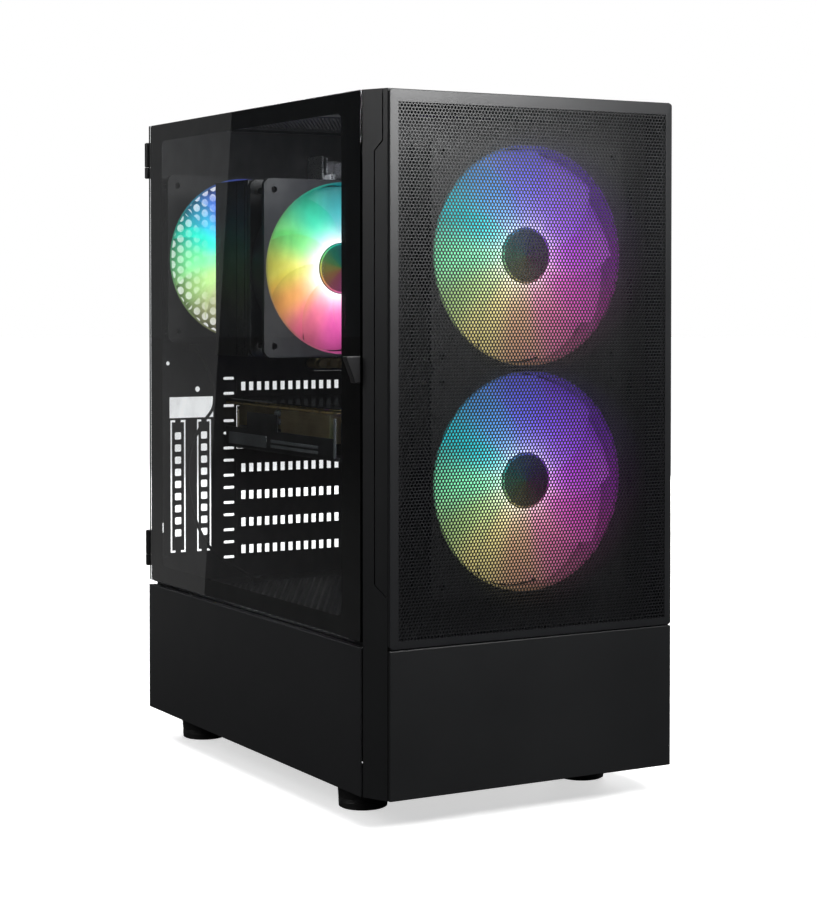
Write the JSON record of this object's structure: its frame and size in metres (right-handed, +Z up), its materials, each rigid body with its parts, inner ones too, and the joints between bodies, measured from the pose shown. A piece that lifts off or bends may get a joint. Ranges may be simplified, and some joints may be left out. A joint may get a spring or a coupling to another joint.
{
  "type": "desktop computer tower",
  "caption": "Mid-size desktop computer tower with a hinged glass side door, perforated front, lit fans, tower cooler, graphics card and slide-out filters",
  "frame": {"origin": "centre of the bounding box in plan, on the surface the feet stand on", "axes": "+Z up, front towards -Y, glass door towards -X"},
  "size_m": [0.2344, 0.3504, 0.4446],
  "materials": {
    "painted_steel": "fine textured black powder coat",
    "mesh_steel": "black powder-coated perforated steel",
    "black_plastic": "matt black moulded plastic",
    "filter_mesh": "black woven filter mesh in a plastic frame",
    "foot_rubber": "black moulded rubber",
    "door_glass": "clear tempered glass with a black printed border",
    "hinge_steel": "black coated steel",
    "bright_steel": "plain bright steel",
    "lit_blades": "frosted translucent blades lit in changing colours",
    "fin_aluminium": "thin stacked aluminium fins",
    "heat_pipe": "polished heat pipes and base",
    "circuit_board": "black solder-masked board with components",
    "cable_sheath": "soft black sheath"
  },
  "bodies": {
    "case": {"chassis_base": "painted_steel", "chassis_rear": "painted_steel", "chassis_top": "painted_steel", "chassis_front": "painted_steel", "motherboard_tray": "painted_steel", "psu_shroud": "painted_steel", "side_skirt": "painted_steel", "right_side_panel": "painted_steel", "thumbscrew_upper": "bright_steel", "thumbscrew_lower": "bright_steel", "front_bezel": "black_plastic", "front_lower_panel": "black_plastic", "io_panel": "black_plastic", "usb_port_left": "bright_steel", "usb_port_right": "bright_steel", "audio_jack": "black_plastic", "foot_front_left": "foot_rubber", "foot_front_right": "foot_rubber", "foot_rear_left": "foot_rubber", "foot_rear_right": "foot_rubber", "hinge_bracket_upper": "hinge_steel", "hinge_bracket_lower": "hinge_steel", "motherboard": "circuit_board", "memory_module_front": "circuit_board", "memory_module_rear": "circuit_board", "io_port_block": "bright_steel", "cooler_fin_stack": "fin_aluminium", "cooler_base": "heat_pipe", "graphics_board": "circuit_board", "graphics_shroud": "black_plastic", "graphics_bracket": "bright_steel", "power_supply": "painted_steel", "psu_inlet": "black_plastic", "solid_state_drive": "circuit_board", "fan_lead": "cable_sheath", "front_fan_upper_frame": "black_plastic", "front_fan_lower_frame": "black_plastic", "rear_fan_frame": "black_plastic", "cooler_fan_frame": "black_plastic", "slot_cover_1": "painted_steel", "slot_cover_4": "painted_steel", "slot_cover_5": "painted_steel", "slot_cover_6": "painted_steel", "slot_cover_7": "painted_steel"},
    "glass_door": {"glass_door": "door_glass", "door_pull": "black_plastic", "door_hinge_upper": "hinge_steel", "door_hinge_lower": "hinge_steel"},
    "front_fan_upper": {"front_fan_upper_rotor": "lit_blades"},
    "front_fan_lower": {"front_fan_lower_rotor": "lit_blades"},
    "rear_fan": {"rear_fan_rotor": "lit_blades"},
    "cooler_fan": {"cooler_fan_rotor": "lit_blades"},
    "graphics_fan_front": {"graphics_fan_front": "black_plastic"},
    "graphics_fan_rear": {"graphics_fan_rear": "black_plastic"},
    "power_button": {"power_button": "black_plastic"},
    "reset_button": {"reset_button": "black_plastic"},
    "psu_rocker": {"psu_rocker_switch": "black_plastic"},
    "psu_filter": {"psu_dust_filter": "filter_mesh"},
    "top_filter": {"top_dust_filter": "filter_mesh"},
    "front_mesh": {"front_mesh_panel": "mesh_steel"}
  },
  "joints": [
    {"name": "door_swing", "type": "hinge", "parent": "case", "child": "glass_door", "pos_m": [-0.10635, 0.17205, 0.28], "axis": [0, 0, -1], "range_deg": [0, 110]},
    {"name": "front_fan_upper_spin", "type": "hinge", "parent": "case", "child": "front_fan_upper", "pos_m": [0.00715, -0.15115, 0.345], "axis": [0, 1, 0], "continuous": true},
    {"name": "front_fan_lower_spin", "type": "hinge", "parent": "case", "child": "front_fan_lower", "pos_m": [0.00715, -0.15115, 0.205], "axis": [0, 1, 0], "continuous": true},
    {"name": "rear_fan_spin", "type": "hinge", "parent": "case", "child": "rear_fan", "pos_m": [-0.04035, 0.15485, 0.3465], "axis": [0, 1, 0], "continuous": true},
    {"name": "cooler_fan_spin", "type": "hinge", "parent": "case", "child": "cooler_fan", "pos_m": [-0.02785, 0.02285, 0.3385], "axis": [0, 1, 0], "continuous": true},
    {"name": "graphics_fan_front_spin", "type": "hinge", "parent": "case", "child": "graphics_fan_front", "pos_m": [0.00765, 0.03345, 0.211], "axis": [0, 0, 1], "continuous": true},
    {"name": "graphics_fan_rear_spin", "type": "hinge", "parent": "case", "child": "graphics_fan_rear", "pos_m": [0.00765, 0.12245, 0.211], "axis": [0, 0, 1], "continuous": true},
    {"name": "power_press", "type": "slide", "parent": "case", "child": "power_button", "axis": [0, 0, -1], "range_m": [0, 0.0015], "stiffness_N_per_m": 300, "springref_m": -0.0005},
    {"name": "reset_press", "type": "slide", "parent": "case", "child": "reset_button", "axis": [0, 0, -1], "range_m": [0, 0.001], "stiffness_N_per_m": 250, "springref_m": -0.0005},
    {"name": "psu_rocker_tilt", "type": "hinge", "parent": "case", "child": "psu_rocker", "pos_m": [-0.01285, 0.16445, 0.05], "axis": [1, 0, 0], "range_deg": [0, 14]},
    {"name": "psu_filter_slide", "type": "slide", "parent": "case", "child": "psu_filter", "axis": [0, 1, 0], "range_m": [0, 0.15]},
    {"name": "top_filter_lift", "type": "slide", "parent": "case", "child": "top_filter", "axis": [0, 0, 1], "range_m": [0, 0.06]},
    {"name": "front_mesh_pull", "type": "slide", "parent": "case", "child": "front_mesh", "axis": [0, -1, 0], "range_m": [0, 0.06]}
  ]
}
